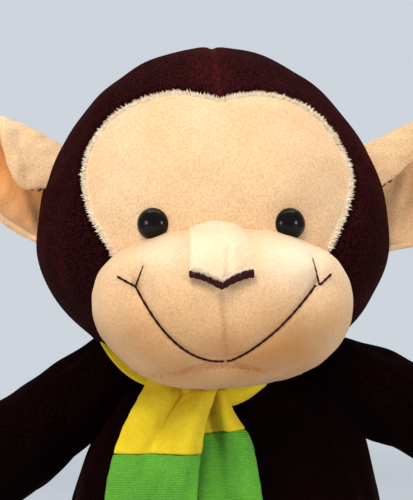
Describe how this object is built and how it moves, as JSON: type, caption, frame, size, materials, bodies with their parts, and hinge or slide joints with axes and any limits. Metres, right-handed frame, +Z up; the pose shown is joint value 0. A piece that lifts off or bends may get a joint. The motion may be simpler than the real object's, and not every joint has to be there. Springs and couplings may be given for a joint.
{
  "type": "stuffed monkey toy",
  "caption": "Seated plush monkey with a big round head, tan face, stand-out ears, wide-spread arms, a tail and a scarf, all bending at their sewn roots.",
  "frame": {"origin": "centre of the flat seat panel, on the table", "axes": "+Z up, the face looks along -Y, +X is the toy's own left"},
  "size_m": [0.3635, 0.2823, 0.3015],
  "materials": {
    "dark_plush": "short pile",
    "tan_plush": "short pile",
    "scarf_yellow": "ribbed knit",
    "scarf_green": "ribbed knit",
    "thread": "satin stitch",
    "stuffing": "loose fibre",
    "eye": "gloss",
    "washer": "matt"
  },
  "bodies": {
    "torso": {"torso_front_panel": "dark_plush", "torso_back_panel": "dark_plush", "seat_panel": "dark_plush", "torso_stuffing": "stuffing", "scarf_neck_loop": "scarf_yellow", "scarf_crossing": "scarf_yellow", "hip_left_stuffing": "stuffing", "hip_right_stuffing": "stuffing"},
    "scarf_front": {"scarf_front_yellow": "scarf_yellow", "scarf_front_green": "scarf_green"},
    "scarf_rear": {"scarf_rear_yellow": "scarf_yellow", "scarf_rear_green": "scarf_green"},
    "neck": {"neck_stuffing": "stuffing"},
    "head": {"head_panel_left": "dark_plush", "head_panel_right": "dark_plush", "face_panel": "tan_plush", "muzzle_panel_left": "tan_plush", "muzzle_panel_right": "tan_plush", "chin_panel": "tan_plush", "nose_flap": "tan_plush", "nose_stitching": "thread", "mouth_stitching": "thread", "eye_left": "eye", "eye_right": "eye", "eye_washer_left": "washer", "eye_washer_right": "washer", "head_stuffing": "stuffing"},
    "ear_left": {"ear_left_front_panel": "tan_plush", "ear_left_back_panel": "tan_plush"},
    "ear_right": {"ear_right_front_panel": "tan_plush", "ear_right_back_panel": "tan_plush"},
    "tail": {"tail_cover": "dark_plush", "tail_stuffing": "stuffing"},
    "shoulder_left": {"shoulder_left_stuffing": "stuffing"},
    "arm_left": {"arm_left_sleeve": "dark_plush", "arm_left_stuffing": "stuffing", "hand_left_cover": "tan_plush"},
    "leg_left": {"leg_left_cover": "dark_plush", "leg_left_stuffing": "stuffing", "foot_left_cover": "tan_plush", "sole_left": "tan_plush"},
    "shoulder_right": {"shoulder_right_stuffing": "stuffing"},
    "arm_right": {"arm_right_sleeve": "dark_plush", "arm_right_stuffing": "stuffing", "hand_right_cover": "tan_plush"},
    "leg_right": {"leg_right_cover": "dark_plush", "leg_right_stuffing": "stuffing", "foot_right_cover": "tan_plush", "sole_right": "tan_plush"}
  },
  "joints": [
    {"name": "head_turn", "type": "hinge", "parent": "torso", "child": "neck", "pos_m": [-0.003, 0, 0.161], "axis": [0, 0, 1], "range_deg": [-22, 22], "stiffness_Nm_per_rad": 0.6},
    {"name": "head_nod", "type": "hinge", "parent": "neck", "child": "head", "pos_m": [-0.003, 0, 0.161], "axis": [1, 0, 0], "range_deg": [-10, 2], "stiffness_Nm_per_rad": 3},
    {"name": "arm_left_swing", "type": "hinge", "parent": "torso", "child": "shoulder_left", "pos_m": [0.058, 0, 0.151], "axis": [0, 0, -1], "range_deg": [-16, 28], "stiffness_Nm_per_rad": 0.3},
    {"name": "arm_left_raise", "type": "hinge", "parent": "shoulder_left", "child": "arm_left", "pos_m": [0.058, 0, 0.151], "axis": [0, -1, 0], "range_deg": [-17, 30], "stiffness_Nm_per_rad": 0.3},
    {"name": "leg_left_lift", "type": "hinge", "parent": "torso", "child": "leg_left", "pos_m": [0.037, -0.05, 0.0255], "axis": [-0.9703, -0.2419, 0], "range_deg": [0, 26], "stiffness_Nm_per_rad": 0.3},
    {"name": "ear_left_flex", "type": "hinge", "parent": "head", "child": "ear_left", "pos_m": [0.0725, 0.004, 0.24], "axis": [-0.2419, 0, -0.9703], "range_deg": [-12, 15], "stiffness_Nm_per_rad": 0.05},
    {"name": "arm_right_swing", "type": "hinge", "parent": "torso", "child": "shoulder_right", "pos_m": [-0.058, 0, 0.151], "axis": [0, 0, 1], "range_deg": [-16, 28], "stiffness_Nm_per_rad": 0.3},
    {"name": "arm_right_raise", "type": "hinge", "parent": "shoulder_right", "child": "arm_right", "pos_m": [-0.058, 0, 0.151], "axis": [0, 1, 0], "range_deg": [-2, 45], "stiffness_Nm_per_rad": 0.3},
    {"name": "leg_right_lift", "type": "hinge", "parent": "torso", "child": "leg_right", "pos_m": [-0.037, -0.05, 0.0255], "axis": [-0.9703, 0.2419, 0], "range_deg": [0, 26], "stiffness_Nm_per_rad": 0.3},
    {"name": "ear_right_flex", "type": "hinge", "parent": "head", "child": "ear_right", "pos_m": [-0.0835, 0.004, 0.24], "axis": [-0.2419, 0, 0.9703], "range_deg": [-12, 15], "stiffness_Nm_per_rad": 0.05},
    {"name": "tail_swing", "type": "hinge", "parent": "torso", "child": "tail", "pos_m": [0, 0.054, 0.011], "axis": [0, 0, 1], "range_deg": [-20, 20], "stiffness_Nm_per_rad": 0.2},
    {"name": "scarf_front_lift", "type": "hinge", "parent": "torso", "child": "scarf_front", "pos_m": [-0.023, -0.0544, 0.1435], "axis": [-1, 0, 0], "range_deg": [0, 50], "stiffness_Nm_per_rad": 0.02},
    {"name": "scarf_rear_lift", "type": "hinge", "parent": "torso", "child": "scarf_rear", "pos_m": [-0.001, -0.0518, 0.1382], "axis": [-1, 0, 0], "range_deg": [0, 50], "stiffness_Nm_per_rad": 0.02}
  ],
  "couplings": [
    {"joint": "scarf_rear_lift", "follows": "scarf_front_lift", "ratio": 1}
  ]
}
